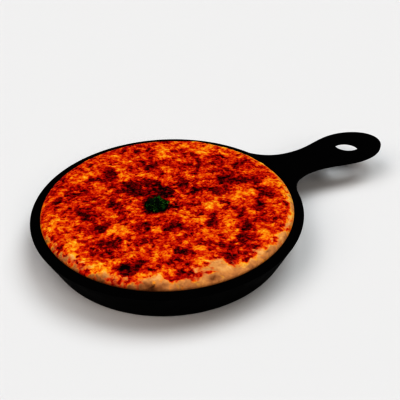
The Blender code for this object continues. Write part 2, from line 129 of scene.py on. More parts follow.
# Mounds of melted cheese, in the same form
MOUNDS = (
    (28, 66, 11, 5, 75), (60, 63, 9, 7, 30), (53, 46, 12, 7, 20), (15, 35, 7, 6, 60),
    (-17, 48, 9, 4, 65), (-84, 10, 14, 5, 80), (-80, -18, 10, 7, 70), (-46, -22, 9, 6, -60),
    (0, -32, 12, 6, -55), (50, -25, 10, 7, 20), (22, -26, 8, 5, -15), (38, -71, 8, 4, 45),
    (72, -46, 10, 6, 50), (-72, -46, 9, 7, -45),
)

# Smaller browned places that only colour the cheese, in the same form
BROWN_MARKS = (
    (-3, 24, 7, 4, -60), (-72, 36, 5, 4, 30), (-53, 37, 6, 4, -50), (-42, 52, 5, 5, 0),
    (-52, -30, 4, 3, 60), (-62, -30, 8, 3, 80), (-48, -58, 6, 3, -20), (-36, -46, 5, 3, 70),
    (-30, -27, 6, 3, 80), (-24, -62, 6, 4, 20), (6, 76, 4, 3, 80), (17, 75, 4, 3, 60),
    (19, 51, 5, 3, 70), (10, 30, 6, 3, 80), (66, 34, 5, 4, 40), (20, -1, 4, 4, 0),
    (34, -28, 3, 3, 0), (66, -24, 4, 3, 20), (55, -42, 7, 4, 70), (12, -43, 5, 4, 0),
    (36, -45, 6, 4, 10), (32, -58, 7, 4, 40), (3, -68, 5, 4, -30), (24, -80, 5, 3, 10),
    (-4, 6, 9, 4.5, -30), (-1, -13, 4.5, 2.6, -25), (-21, -12, 4, 2.5, -40),
)

# Smaller pale places of cheese, in the same form
CHEESE_MARKS = (
    (-15, 80, 6, 3, 80), (-48, 57, 7, 4, 75), (31, 45, 6, 4, 70), (-4, 40, 5, 4, 60),
    (-28, 10, 6, 2.5, -10), (8, -37, 5, 3, 50), (52, -15, 5, 3, 60), (3, -57, 4, 2, 0),
    (25, -47, 6, 3, 20), (45, -51, 5, 3, 20), (-25, -33, 5, 3, 60), (-8, -64, 5, 3, 10),
    (20, -62, 5, 3, 40), (90, -8, 5, 4, 80), (88, 20, 14, 4, 100), (72, 54, 14, 5, -50),
    (-38, -70, 6, 3, -30), (84, -24, 8, 4, -72), (-57, 66, 8, 4, 40), (28, 88, 9, 4, -15),
)

# Small dark spots: centre x and y, radius (mm)
DARK_SPOTS = (
    (-60, -58.5, 3.2), (-40, -67, 2.2), (-28, -79, 2.4), (20, -2, 2.6), (34, -28, 2.2),
    (24, -81, 2.4), (5, -83, 2.2), (22, -66, 2.2), (8, 77, 2), (17, 75, 1.9),
    (-52, -30, 1.8), (66, -23, 2), (55, -40, 2), (75, 12, 2.2), (-22, -75, 2.2),
    (52, 0, 2.2), (-36, -46, 1.8), (13, -43, 1.8), (-76, 36, 2), (-5, 82, 1.6),
    (1, 10, 3.8), (1, 3, 3.2), (-7, 5, 2.4), (-2, 16, 4.2), (-13, 8, 2.6),
    (-2, -14, 2.4), (-10, 3, 3), (-16, 4, 2.6), (-4, -1, 2.6),
)

# Sauce and grease that have run over the bare crust, in the form of the blisters
CRUST_STAINS = (
    (-26, -82, 5.5, 3.5, 75), (-35, -80, 5.5, 3.6, -25), (-52, -63, 6.5, 4, -20), (-15, -79, 6, 3.4, 15),
    (-19, -85, 5, 2.4, -10), (1, -81, 3.5, 2, -30), (2, -85, 5, 2.5, 85), (14, -86.8, 6, 2.6, 8),
    (29, -86, 2.5, 1.6, 20), (11, -89, 1.6, 1.3, 0), (71.5, -52, 6, 2.2, 55),
)

# Places where the bare crust is well browned, in the form of the blisters
CRUST_TOASTS = (
    (29, -87, 2, 1.4, 20),
    (-52, -78, 5, 2, -35),
    (-14, -90.5, 4.5, 1.8, -8),
)

# Seeded small scorched spots between the named ones; lengths in mm
SPOT_COUNT = 70
SPOT_REACH = 89.0
SPOT_SMALLEST = 0.8
SPOT_LARGEST = 1.7
SPOT_SEED = 77

# Bands beside the pan: middle and half angle (degrees), where they start and how fast they rise
RIGHT_CHEESE = (40.0, 36.0, 89.5 * MM, 2.5 * MM)
LEFT_CHEESE = (190.0, 32.0, 83.0 * MM, 5.0 * MM)
BROWN_STRIP = (213.0, 38.0, 86.5 * MM, 5.0 * MM)

# Noise over the pizza: size of its features, octaves, what each octave keeps of the last and seed
MOTTLE = (9.0 * MM, 4, 0.85, 101)
PEBBLES = (2.6 * MM, 2, 0.7, 61)
SWELLS = (11.0 * MM, 2, 0.6, 71)
TONGUES = (6.0 * MM, 3, 0.7, 31)
THIN_PATCHES = (7.0 * MM, 3, 0.8, 95)
TOAST_PATCHES = (7.0 * MM, 3, 0.8, 91)
CRAGS = (3.2 * MM, 3, 0.7, 81)

# Noise of one octave: size of its features and seed
BROAD_MOTTLE = (24.0 * MM, 13)
RIM_STREAKS = (2.4 * MM, 161)
DENTS = (9.0 * MM, 85)

# Uneven outlines of the marks: how far points shift and the size of the waves
WARPS = ((1.6 * MM, 6.0 * MM), (0.7 * MM, 2.5 * MM))
WARP_SEED = 151

# How much each kind of oval changes the bake scale
OVAL_BAKES = (
    (BLISTERS, -1.9),
    (BROWN_MARKS, -1.5),
    (MOUNDS, 1.35),
    (CHEESE_MARKS, 1.25),
    (CRUST_STAINS, -2.2),
)

# What else changes the bake scale
MOTTLE_BAKE = 0.80
BROAD_BAKE = 0.32
SPOT_BAKE = -1.7
# Painted shade: the cheese is darkened under and just around the herbs
HERB_SHADE_BAKE = -0.8
HERB_SHADE_RADIUS = 11.0 * MM
RIGHT_CHEESE_BAKE = 1.5
LEFT_CHEESE_BAKE = 0.8
STREAK_BAKE = -0.9
STREAK_SQUEEZE = 0.3
STRIP_BAKE = -1.4
GOLDEN_BAKE = 0.6
GOLDEN_WIDTH = 6.0 * MM

# Below this place the bake scale is compressed, so that little comes out black
SCORCH_START = -1.3
SCORCH_SHARE = 0.5

# Where the dough shows and what covers it again; angles in degrees
RECESS_DEPTH = 3.0 * MM
BORDER_WIDTH = 3.5 * MM
BORDER_SHIFT = 0.25
COVERED_START = -132.0
COVERED_FADE = 6.0
COVERED_SHARE = 0.90
FRONT_MIDDLE = -66.0
RIM_HALF_ANGLE = 72.0
RIM_BARE = 0.62
# Partly painted light: the dough share falls only a little towards the right front, keeping that slope paler
# as if better lit; pale dough does show there too
RIM_BARE_LOSS = 0.08
RIM_LOSS_START = -60.0
RIM_LOSS_FADE = 14.0
RIM_START = 88.5 * MM
RIM_WIDTH = 4.0 * MM
STRIP_BARE = 0.50
PATCH_BARE = 0.30
STAIN_BARE = -0.60
TOAST_BARE = 0.45
COVERED_BELOW = 0.3

# How brown the dough is, and the painted shade that darkens it towards the pan
TOAST_LEAST = 0.04
TOAST_OUTWARD = 0.18
TOAST_OUTWARD_WIDTH = 6.0 * MM
# Painted shade: the dough darkens towards the pan wall, on top of its real browning, less so at the front
TOAST_AND_SHADE_AT_PAN = 0.50
TOAST_AND_SHADE_AT_PAN_LOSS = 0.36
TOAST_HALF_ANGLE = 58.0
DARKENING_RIM_START = 87.5 * MM
DARKENING_RIM_WIDTH = 6.5 * MM
TOAST_PATCH = 0.11
TOAST_MARK = 0.42

# Small relief of the cheese and the bare crust, and the topping's ragged edge
BAKE_RELIEF = 0.20 * MM
PEBBLE_RELIEF = 0.10 * MM
SWELL_RELIEF = 0.22 * MM
CRAG_RELIEF = 0.22 * MM
DENT_RELIEF = 0.20 * MM
CRUMB_RELIEF = 0.22 * MM
PAN_FADE_WIDTH = 1.5 * MM
EDGE_FADE_WIDTH = 1.2 * MM
BARE_DROP_WIDTH = 2.5 * MM
TONGUE_REACH = 0.8 * MM
TONGUE_LEAST = 0.25
TONGUE_RECESS = 4.0 * MM
RAGGED_LIMIT = 93.2 * MM

# Herbs: the low mound, the leaf bits over it, and the heap's height as a share of the mound's
HERB_CORE_RADIUS = 7.6 * MM
HERB_CORE_HEIGHT = 2.6 * MM
LEAF_COUNT = 84
LEAF_LENGTH = 4.8 * MM
LEAF_WIDTH = 2.7 * MM
LEAF_THICKNESS = 0.28 * MM
LEAF_TURN = 137.5
LEAF_OVERHANG = 0.3 * MM
LEAF_CLEARANCE = 0.05 * MM
HEAP_TOP = 1.15
HEAP_FALL = 0.90
LEAF_TINTS = (0.05, 0.15, 0.30, 0.45, 0.60, 0.75, 0.90)
HERB_SEED = 5

# Mesh detail
LATHE_SIDES = 256
PIZZA_SIDES = 560
TOPPING_RINGS = 150
RING_CROWDING = 1.05
BARE_RINGS = 22
UNDER_SHARES = (0.25, 0.50, 0.75, 0.88, 0.93, 0.955, 0.975, 0.985, 0.991, 0.996, 1.0)

# Seeded noise
NOISE_SIZE = 128
NOISE_SHIFT_X = 40.37
NOISE_SHIFT_Y = 40.73
NOISE_SPREAD = 0.28
FIRST_TURN = 0.35
OCTAVE_TURN = 0.9
OCTAVE_SHRINK = 1.9

# Photograph's view
IMAGE_SIZE = 400
FOCAL_PIXELS = 482.8
SENSOR_WIDTH = 36.0
CAMERA_PLACE = (-0.1292, -0.2735, 0.2369)
CAMERA_AIM = (0.0408, 0.0232, 0.0)

# Light
# Each soft light: name, strength, spread (degrees), the direction it comes from and its colour
SOFT_LIGHTS = (
    ("handle_side", 1.03, 40.0, (0.42, 0.0, 0.91), (0.96, 1.005, 1.03)),
    ("back", 0.56, 40.0, (-0.30, 0.30, 0.91), (0.98, 1.00, 1.03)),
    ("left", 0.51, 40.0, (-0.77, 0.0, 0.64), (1.09, 0.985, 0.92)),
    ("front", 0.77, 40.0, (0.0, -0.77, 0.64), (1.05, 0.995, 0.95)),
)
DOME_STRENGTH = 0.02
BACKDROP_STRENGTH = 0.53
FLOOR_GREY = 0.72
FLOOR_HALF_SIZE = 12.0


# Small tools


def smoothstep(value):
    """Ease from 0 to 1, for numbers and arrays."""
    value = np.clip(value, 0.0, 1.0)
    return value * value * (3.0 - 2.0 * value)


def step_up(value, start, width):
    """Ease from 0 at the start to 1 one width further on."""
    return smoothstep((value - start) / width)


def bell(degrees, middle, half_angle, power):
    """1 at the middle angle, falling to nothing beyond the half angle, the faster the higher the power."""
    away = (degrees - middle + 180.0) % 360.0 - 180.0
    return np.exp(-(away / half_angle) ** power)


def radius_and_angle(x, y):
    """Points in plan as radius and angle in degrees."""
    return np.hypot(x, y), np.degrees(np.arctan2(y, x))


def gradient_noise(x, y, cell, seed):
    """Smooth seeded noise of about unit spread over the plane, with features of one cell."""
    turn = np.random.default_rng(seed).uniform(0.0, 2.0 * np.pi, (NOISE_SIZE, NOISE_SIZE))
    u = x / cell + NOISE_SHIFT_X
    v = y / cell + NOISE_SHIFT_Y
    low_u = np.floor(u).astype(int)
    low_v = np.floor(v).astype(int)
    part_u = u - low_u
    part_v = v - low_v

    def corner(step_u, step_v):
        angle = turn[(low_u + step_u) % NOISE_SIZE, (low_v + step_v) % NOISE_SIZE]
        return np.cos(angle) * (part_u - step_u) + np.sin(angle) * (part_v - step_v)

    ease_u = part_u ** 3 * (part_u * (6.0 * part_u - 15.0) + 10.0)
    ease_v = part_v ** 3 * (part_v * (6.0 * part_v - 15.0) + 10.0)
    low = corner(0, 0) * (1.0 - ease_u) + corner(1, 0) * ease_u
    high = corner(0, 1) * (1.0 - ease_u) + corner(1, 1) * ease_u
    return (low * (1.0 - ease_v) + high * ease_v) / NOISE_SPREAD


def layered_noise(x, y, cell, octaves, gain, seed):
    """Several octaves of noise, each turned against the last, scaled back to unit spread."""
    total = np.zeros_like(x)
    power = 0.0
    for octave in range(octaves):
        angle = OCTAVE_TURN * octave + FIRST_TURN
        turned_x = x * math.cos(angle) - y * math.sin(angle)
        turned_y = x * math.sin(angle) + y * math.cos(angle)
        weight = gain ** octave
        total += weight * gradient_noise(turned_x, turned_y, cell / OCTAVE_SHRINK ** octave, seed + octave)
        power += weight ** 2
    return total / math.sqrt(power)


def finish_piece(item, node):
    """Let a piece ride on the frame and stand for its node, whose solid is hidden."""
    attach(item, BODY)
    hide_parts(node)


def link_mesh(name, mesh, material):
    """Make a smooth shaded object of a mesh."""
    item = bpy.data.objects.new(name, mesh)
    bpy.context.scene.collection.objects.link(item)
    if material:
        mesh.materials.append(material)
    mesh.shade_smooth()
    return item


def ring_mesh(name, rings, first_pole, last_pole):
    """A closed mesh from rings that run outwards from the first pole and back to the last."""
    rings = np.asarray(rings, float)
    ring_count, sides, _ = rings.shape
    points = np.concatenate([rings.reshape(-1, 3), [first_pole, last_pole]])
    i = np.arange(sides)
    j = (i + 1) % sides
    faces = []
    for ring in range(ring_count - 1):
        here = ring * sides
        there = here + sides
        faces += np.stack([here + i, there + i, there + j, here + j], axis=1).tolist()
    first = np.full(sides, ring_count * sides)
    last_ring = (ring_count - 1) * sides
    faces += np.stack([first, i, j], axis=1).tolist()
    faces += np.stack([first + 1, last_ring + j, last_ring + i], axis=1).tolist()
    mesh = bpy.data.meshes.new(name)
    mesh.from_pydata(points.tolist(), [], faces)
    mesh.update()
    return mesh


def add_attribute(mesh, name, values):
    """Store one number for each point of a mesh."""
    attribute = mesh.attributes.new(name, "FLOAT", "POINT")
    attribute.data.foreach_set("value", np.asarray(values, np.float32))


# Material tools


class Look:
    """A material under construction: its node tree and its Principled shader."""

    def __init__(self, name, roughness, specular):
        self.material = bpy.data.materials.new(name)
        self.material.use_nodes = True
        self.tree = self.material.node_tree
        self.shader = self.tree.nodes["Principled BSDF"]
        self.shader.inputs["Roughness"].default_value = roughness
        self.shader.inputs["Specular IOR Level"].default_value = specular
        self.place = self.add("ShaderNodeTexCoord").outputs["Object"]

    def add(self, kind, **settings):
        """Add a node with its settings."""
        node = self.tree.nodes.new(kind)
        for key, value in settings.items():
            setattr(node, key, value)
        return node

    def link(self, source, target):
        """Join two sockets."""
        self.tree.links.new(source, target)

    def noise(self, size, detail=3.0, roughness=0.6, distortion=0.0):
        """Noise over the object's own coordinates with features of a given size; its factor output."""
        node = self.add("ShaderNodeTexNoise")
        node.inputs["Scale"].default_value = 1.0 / size
        node.inputs["Detail"].default_value = detail
        node.inputs["Roughness"].default_value = roughness
        node.inputs["Distortion"].default_value = distortion
        self.link(self.place, node.inputs["Vector"])
        return node.outputs["Fac"]

    def stretch(self, degrees, factor):
        """Draw the noise that follows out along one direction in plan."""
        node = self.add("ShaderNodeMapping", vector_type="TEXTURE")
        node.inputs["Rotation"].default_value = (0.0, 0.0, math.radians(degrees))
        node.inputs["Scale"].default_value = (factor, 1.0, 1.0)
        self.link(self.place, node.inputs["Vector"])
        self.place = node.outputs["Vector"]

    def attribute(self, name):
        """A number stored on the mesh."""
        return self.add("ShaderNodeAttribute", attribute_name=name).outputs["Fac"]

    def math(self, operation, *values):
        """Arithmetic on sockets and numbers."""
        node = self.add("ShaderNodeMath", operation=operation)
        for socket, value in zip(node.inputs, values):
            if isinstance(value, (int, float)):
                socket.default_value = value
            else:
                self.link(value, socket)
        return node.outputs[0]

    def span(self, value, low, high, to_low=0.0, to_high=1.0):
        """Map a range to another, clamped."""
        node = self.add("ShaderNodeMapRange")
        node.inputs["From Min"].default_value = low
        node.inputs["From Max"].default_value = high
        node.inputs["To Min"].default_value = to_low
        node.inputs["To Max"].default_value = to_high
        self.link(value, node.inputs["Value"])
        return node.outputs["Result"]

    def ramp(self, value, stops, low=0.0, high=1.0):
        """Colours along a value, whose stops are given in the value's own range."""
        node = self.add("ShaderNodeValToRGB")
        band = node.color_ramp
        places = [(place - low) / (high - low) for place, _ in stops]
        band.elements[0].position = places[0]
        band.elements[1].position = places[-1]
        for place in places[1:-1]:
            band.elements.new(place)
        for element, (_, colour) in zip(band.elements, stops):
            element.color = (*colour, 1.0)
        self.link(self.span(value, low, high), node.inputs["Fac"])
        return node.outputs["Color"]

    def mix(self, factor, first, second):
        """Mix two colours."""
        node = self.add("ShaderNodeMix", data_type="RGBA")
        self.link(factor, node.inputs["Factor"])
        for name, value in (("A", first), ("B", second)):
            self.link(value, next(s for s in node.inputs if s.name == name and s.type == "RGBA"))
        return next(s for s in node.outputs if s.type == "RGBA")

    def bump(self, height, distance, under=None):
        """Fine relief for the shader, over another where one is given."""
        node = self.add("ShaderNodeBump")
        node.inputs["Distance"].default_value = distance
        self.link(height, node.inputs["Height"])
        if under:
            self.link(under, node.inputs["Normal"])
        return node.outputs["Normal"]

    def finish(self, colour, roughness, normal):
        """Join the results to the shader; without a roughness its own value stays."""
        for name, value in (("Base Color", colour), ("Roughness", roughness), ("Normal", normal)):
            if value is not None:
                self.link(value, self.shader.inputs[name])
        return self.material


# Materials


# Seasoned iron: sizes and depths of its grain and waves
IRON_GRAIN = 0.7 * MM
IRON_WAVES = 5.0 * MM
IRON_PATCHES = 14.0 * MM
PIT_DEPTH = 0.10 * MM
WAVE_DEPTH = 0.12 * MM

# The iron's colours from one patch to another
IRON_COLOURS = (
    (0.30, (0.0020, 0.0020, 0.0021)),
    (0.55, (0.0030, 0.0029, 0.0029)),
    (0.75, (0.0050, 0.0046, 0.0042)),
)


def iron_look():
    """Seasoned cast iron: near black, with a fine cast grain and faint uneven sheen."""
    look = Look("seasoned_iron", roughness=0.62, specular=0.04)
    grain = look.noise(IRON_GRAIN, detail=4.0, roughness=0.65)
    patches = look.noise(IRON_PATCHES)
    colour = look.ramp(patches, IRON_COLOURS)
    uneven = look.math("MULTIPLY_ADD", grain, 0.5, patches)
    roughness = look.span(uneven, 0.5, 1.0, 0.52, 0.78)
    pits = look.bump(grain, PIT_DEPTH)
    waves = look.bump(look.noise(IRON_WAVES, detail=2.0), WAVE_DEPTH, under=pits)
    return look.finish(colour, roughness, waves)


# The shredded cheese lies mostly along one direction
STRAND_TURN = -30.0
STRAND_STRETCH = 1.4

# Sizes of the cheese's own pattern, and how much each part of it changes the bake scale
CHEESE_GRAIN = 2.6 * MM
SPECKLE_SIZE = 0.6 * MM
FLECK_SIZE = 2.1 * MM
GRAIN_DARKEST = -0.92
GRAIN_PALEST = 0.78
SPECKLE_BAKE = 0.9
FLECK_BAKE = -1.2
STRAND_BAKE = 0.8
THIN_CHEESE_BAKE = 1.7

# How much the grain shifts the dough's colour and the border between cheese and dough
GRAIN_TOAST = 0.5
GRAIN_BARE = 0.9

# Depths of the crumbs and bubbles, and how matte the pizza is
CRUMB_DEPTH = 0.12 * MM
BUBBLE_DEPTH = 0.45 * MM
CHEESE_ROUGHNESS = 0.46
DOUGH_ROUGHNESS = 0.80
PIZZA_SPECULAR = 0.06

# The cheese's colours from nearly burnt to pale, each at its place on the bake scale
BAKE_COLOURS = (
    (-2.6, (0.009, 0.0006, 0.0022)),
    (-1.9, (0.076, 0.0006, 0.0016)),
    (-1.2, (0.215, 0.0012, 0.0016)),
    (-0.6, (0.375, 0.0070, 0.0020)),
    (0.0, (0.545, 0.0310, 0.0030)),
    (0.5, (0.660, 0.0850, 0.0050)),
    (1.0, (0.735, 0.1740, 0.0080)),
    (1.6, (0.790, 0.290, 0.0130)),
    (2.3, (0.820, 0.400, 0.0320)),
    (3.0, (0.850, 0.530, 0.0900)),
)

# The dough's colours from pale to nearly burnt
TOAST_COLOURS = (
    (0.00, (0.77, 0.450, 0.185)),
    (0.24, (0.62, 0.305, 0.115)),
    (0.52, (0.44, 0.210, 0.088)),
    (0.78, (0.27, 0.115, 0.044)),
    (1.00, (0.09, 0.034, 0.013)),
)


def pizza_look(name):
    """Cheese and sauce that thin out over baked dough, so the topping and the crust meet without a line."""
    look = Look(name, roughness=0.5, specular=PIZZA_SPECULAR)
    look.stretch(STRAND_TURN, STRAND_STRETCH)
    thinning = look.attribute("bare")
    grain = look.noise(CHEESE_GRAIN, roughness=0.55, distortion=1.0)
    grain_swing = look.math("SUBTRACT", grain, 0.5)
    speckle = look.noise(SPECKLE_SIZE, detail=1.5)
    speckle_swing = look.math("SUBTRACT", speckle, 0.5)
    flecks = look.span(look.noise(FLECK_SIZE, detail=1.5, distortion=0.6), 0.60, 0.68)
    strands = look.span(look.noise(CHEESE_GRAIN, detail=1.0, distortion=1.6), 0.42, 0.34)
    bake = look.span(grain, 0.38, 0.62, GRAIN_DARKEST, GRAIN_PALEST)
    bake = look.math("ADD", bake, look.attribute("bake"))
    bake = look.math("MULTIPLY_ADD", speckle_swing, SPECKLE_BAKE, bake)
    bake = look.math("MULTIPLY_ADD", flecks, FLECK_BAKE, bake)
    bake = look.math("MULTIPLY_ADD", strands, STRAND_BAKE, bake)
    bake = look.math("MULTIPLY_ADD", look.span(thinning, 0.05, 0.55), THIN_CHEESE_BAKE, bake)
    cheese = look.ramp(bake, BAKE_COLOURS, BAKE_COLOURS[0][0], BAKE_COLOURS[-1][0])
    toast_and_shade = look.math("MULTIPLY_ADD", grain_swing, GRAIN_TOAST, look.attribute("toast_and_shade"))
    dough = look.ramp(toast_and_shade, TOAST_COLOURS)
    bare = look.math("MULTIPLY_ADD", grain_swing, GRAIN_BARE, thinning)
    colour = look.mix(look.span(bare, 0.25, 0.85), cheese, dough)
    roughness = look.span(bare, 0.0, 1.0, CHEESE_ROUGHNESS, DOUGH_ROUGHNESS)
    crumbs = look.bump(speckle, CRUMB_DEPTH)
    bubbles = look.bump(grain, BUBBLE_DEPTH, under=crumbs)
    return look.finish(colour, roughness, bubbles)


# The herbs' colours from the deepest to the palest leaf, and the size and depth of their veins
HERB_COLOURS = (
    (0.00, (0.0015, 0.004, 0.002)),
    (0.40, (0.004, 0.022, 0.004)),
    (0.70, (0.012, 0.070, 0.006)),
    (1.00, (0.075, 0.180, 0.020)),
)
VEIN_SIZE = 0.9 * MM
VEIN_DEPTH = 0.15 * MM
VEIN_TINT = 0.7


def herb_look():
    """Cooked chopped herbs: very dark green, paler on some leaves and along their ribs."""
    look = Look("chopped_herbs", roughness=0.6, specular=0.12)
    veins = look.noise(VEIN_SIZE)
    vein_swing = look.math("SUBTRACT", veins, 0.5)
    tint = look.math("MULTIPLY_ADD", vein_swing, VEIN_TINT, look.attribute("tint"))
    return look.finish(look.ramp(tint, HERB_COLOURS), None, look.bump(veins, VEIN_DEPTH))


def floor_look():
    """Plain pale floor."""
    look = Look("pale_floor", roughness=0.9, specular=0.0)
    look.shader.inputs["Base Color"].default_value = (FLOOR_GREY, FLOOR_GREY, FLOOR_GREY, 1.0)
    return look.material


# Skillet


def rounded_profile(corners, facet):
    """Points of a section whose corners, each (radius, height, rounding), are rounded by arcs."""
    points = []
    for index, (x, z, rounding) in enumerate(corners):
        if rounding == 0.0:
            points.append((x, z))
            continue
        before = corners[index - 1]
        after = corners[index + 1]
        back = math.atan2(before[1] - z, before[0] - x)
        ahead = math.atan2(after[1] - z, after[0] - x)
        opening = (ahead - back + math.pi) % (2.0 * math.pi) - math.pi
        middle = back + opening / 2.0
        reach = rounding / math.sin(abs(opening) / 2.0)
        sweep = math.pi - abs(opening)
        start = back - math.copysign(math.pi / 2.0, opening)
        steps = max(3, round(rounding / facet))
        for step in range(steps + 1):
            angle = start - math.copysign(sweep, opening) * step / steps
            points.append((
                x + reach * math.cos(middle) + rounding * math.cos(angle),
                z + reach * math.sin(middle) + rounding * math.sin(angle),
            ))
    return points


def circle(radius, height, sides):
    """A level ring of points."""
    turn = np.arange(sides) * 2.0 * np.pi / sides
    return np.stack([radius * np.cos(turn), radius * np.sin(turn), np.full(sides, height)], axis=1)


def polar(radius, degrees):
    """A point in plan."""
    return radius * math.cos(math.radians(degrees)), radius * math.sin(math.radians(degrees))


def handle_side():
    """One side of the handle in plan, from inside the wall out to the tip."""
    fade_steps = 8
    root_steps = 28
    neck_steps = 20
    end_steps = 30
    points = [polar(HANDLE_ANCHOR_RADIUS, HANDLE_TANGENT_ANGLE + HANDLE_FADE_ANGLE)]
    for step in range(fade_steps):
        part = 1.0 - step / fade_steps
        radius = HANDLE_TANGENT_RADIUS - HANDLE_FADE_DEPTH * part ** 2
        points.append(polar(radius, HANDLE_TANGENT_ANGLE + HANDLE_FADE_ANGLE * part))
    start = polar(HANDLE_TANGENT_RADIUS, HANDLE_TANGENT_ANGLE)
    end = (NECK_START, NECK_HALF_WIDTH)
    corner_x = start[0] + (end[1] - start[1]) / math.tan(math.radians(HANDLE_TANGENT_ANGLE - 90.0))
    corner = (corner_x, end[1])
    first = [start[k] + HANDLE_ROOT_PULL * (corner[k] - start[k]) for k in range(2)]
    second = [end[k] + HANDLE_NECK_PULL * (corner[k] - end[k]) for k in range(2)]
    for step in range(root_steps):
        t = step / root_steps
        weights = ((1 - t) ** 3, 3 * t * (1 - t) ** 2, 3 * t * t * (1 - t), t ** 3)
        points.append(tuple(
            sum(weight * node[k] for weight, node in zip(weights, (start, first, second, end)))
            for k in range(2)
        ))
    for step in range(neck_steps):
        t = step / neck_steps
        ease = 0.5 - 0.5 * math.cos(math.pi * t)
        points.append((
            NECK_START + (HEAD_START - NECK_START) * t,
            NECK_HALF_WIDTH + (HEAD_HALF_WIDTH - NECK_HALF_WIDTH) * ease,
        ))
    for step in range(end_steps):
        angle = math.pi / 2.0 * (1.0 - step / end_steps)
        points.append((
            HEAD_START + (HANDLE_END - HEAD_START) * math.cos(angle),
            HEAD_HALF_WIDTH * math.sin(angle),
        ))
    return points


def edge_layers(size, first=()):
    """Layers of the handle from the top down, with a rounded edge at both faces: how far in and how high."""
    steps = 5
    levels = list(first)
    for step in range(steps + 1):
        angle = math.pi / 2.0 * step / steps
        levels.append((size * (1.0 - math.sin(angle)), size * (1.0 - math.cos(angle))))
    layers = [(depth, HANDLE_TOP - drop) for depth, drop in levels]
    return layers + [(depth, HANDLE_TOP - HANDLE_THICKNESS + drop) for depth, drop in levels[::-1]]


def handle_rings():
    """The handle's outline at each level of its rounded edge, from the top down."""
    side = handle_side()
    inner_steps = 24
    anchor = HANDLE_TANGENT_ANGLE + HANDLE_FADE_ANGLE
    outline = [(x, -y) for x, y in side] + [(HANDLE_END, 0.0)] + side[::-1]
    kept = len(outline)
    outline += [polar(HANDLE_ANCHOR_RADIUS, anchor - 2.0 * anchor * step / inner_steps)
                for step in range(1, inner_steps)]
    outline = np.array(outline)
    along = np.roll(outline, -1, axis=0) - np.roll(outline, 1, axis=0)
    along /= np.linalg.norm(along, axis=1)[:, None]
    inward = np.stack([-along[:, 1], along[:, 0]], axis=1)
    inward[0] = 0.0
    inward[kept - 1:] = 0.0
    layers = edge_layers(HANDLE_EDGE)
    return [np.column_stack([outline + depth * inward, np.full(len(outline), z)]) for depth, z in layers]


def hole_rings():
    """The hang hole's cutter, from the top down, with a rounded edge at both faces."""
    sides = 96
    clear = 1.0 * MM
    turn = np.arange(sides) * 2.0 * np.pi / sides
    rings = []
    for wide, z in edge_layers(HOLE_CHAMFER, [(HOLE_CHAMFER + clear, -clear)]):
        x = HOLE_CENTRE + (HOLE_HALF_LENGTH + wide) * np.cos(turn)
        y = (HOLE_HALF_WIDTH + wide) * np.sin(turn)
        rings.append(np.stack([x, y, np.full(sides, z)], axis=1))
    return rings


def capped_mesh(name, rings):
    """A closed mesh from rings of the same count, top first, with a flat cap at each end."""
    solid = bmesh.new()
    loops = [[solid.verts.new(point) for point in ring] for ring in rings]
    sides = len(loops[0])
    for high, low in zip(loops, loops[1:]):
        for i in range(sides):
            j = (i + 1) % sides
            solid.faces.new((high[i], low[i], low[j], high[j]))
    solid.faces.new(loops[0])
    solid.faces.new(loops[-1][::-1])
    bmesh.ops.recalc_face_normals(solid, faces=solid.faces)
    mesh = bpy.data.meshes.new(name)
    solid.to_mesh(mesh)
    solid.free()
    return mesh


def combine(item, other, operation):
    """Join a mesh to an object, or cut it away, and remove the other object."""
    step = item.modifiers.new(operation.lower(), "BOOLEAN")
    step.operation = operation
    step.solver = "EXACT"
    step.object = other
    view = bpy.context.evaluated_depsgraph_get()
    result = bpy.data.meshes.new_from_object(item.evaluated_get(view))
    item.modifiers.remove(step)
    item.data = result
    bpy.data.objects.remove(other, do_unlink=True)


def build_skillet():
    """The casting, finer than its solid."""
    corners = (
        (0.0, FLOOR_THICKNESS, 0.0),
        (FLOOR_CORNER_RADIUS, FLOOR_THICKNESS, FLOOR_ROUNDING),
        (RIM_INNER_RADIUS, RIM_HEIGHT, RIM_ROUNDING),
        (RIM_CORNER_RADIUS, RIM_HEIGHT, RIM_ROUNDING),
        (BASE_CORNER_RADIUS, 0.0, BASE_ROUNDING),
        (0.0, 0.0, 0.0),
    )
    profile = rounded_profile(corners, 0.25 * MM)
    rings = [circle(radius, height, LATHE_SIDES) for radius, height in profile[1:-1]]
    mesh = ring_mesh("skillet_casting", rings, (0.0, 0.0, FLOOR_THICKNESS), (0.0, 0.0, 0.0))
    skillet = link_mesh("skillet_casting", mesh, iron_look())
    for name, rings, operation in (
        ("handle_blank", handle_rings(), "UNION"),
        ("hang_hole", hole_rings(), "DIFFERENCE"),
    ):
        combine(skillet, link_mesh(name, capped_mesh(name, rings), None), operation)
    skillet.data.shade_smooth()
    skillet.data.set_sharp_from_angle(angle=math.radians(40.0))
    weighted = skillet.modifiers.new("even_normals", "WEIGHTED_NORMAL")
    weighted.keep_sharp = True
    finish_piece(skillet, "skillet")


# Pizza surfaces, as in the solids


def shoulder(radius):
    """Height of the pizza's top without its relief."""
    reach = np.clip((radius - SHOULDER_START) / (PIZZA_EDGE_RADIUS - SHOULDER_START), 0.0, 1.0)
    return PIZZA_EDGE_HEIGHT + (PIZZA_TOP - PIZZA_EDGE_HEIGHT) * np.sqrt(1.0 - reach * reach)


def topping_edge(degrees):
    """Radius at which the topping ends, as in the solids."""
    radius = np.full_like(degrees, TOPPING_RADIUS)
    for middle, half_angle, depth in BARE_PLACES:
        radius -= depth * MM * bell(degrees, middle, half_angle, 2)
    return radius - EDGE_WAVE * (1.0 + np.sin(np.radians(EDGE_WAVE_COUNT * degrees)))


def make_lumps():
    """Seeded lumps and hollows spread over the topping, as in the solids."""
    chance = random.Random(LUMP_SEED)
    lumps = []
    for _ in range(LUMP_COUNT):
        radius = TOPPING_RADIUS * math.sqrt(chance.random())
        x, y = polar(radius, chance.uniform(0.0, 360.0))
        reach = chance.uniform(LUMP_SMALLEST, LUMP_LARGEST)
        lumps.append((x, y, reach, chance.uniform(-1.0, 1.0) * LUMP_HEIGHT))
    return lumps


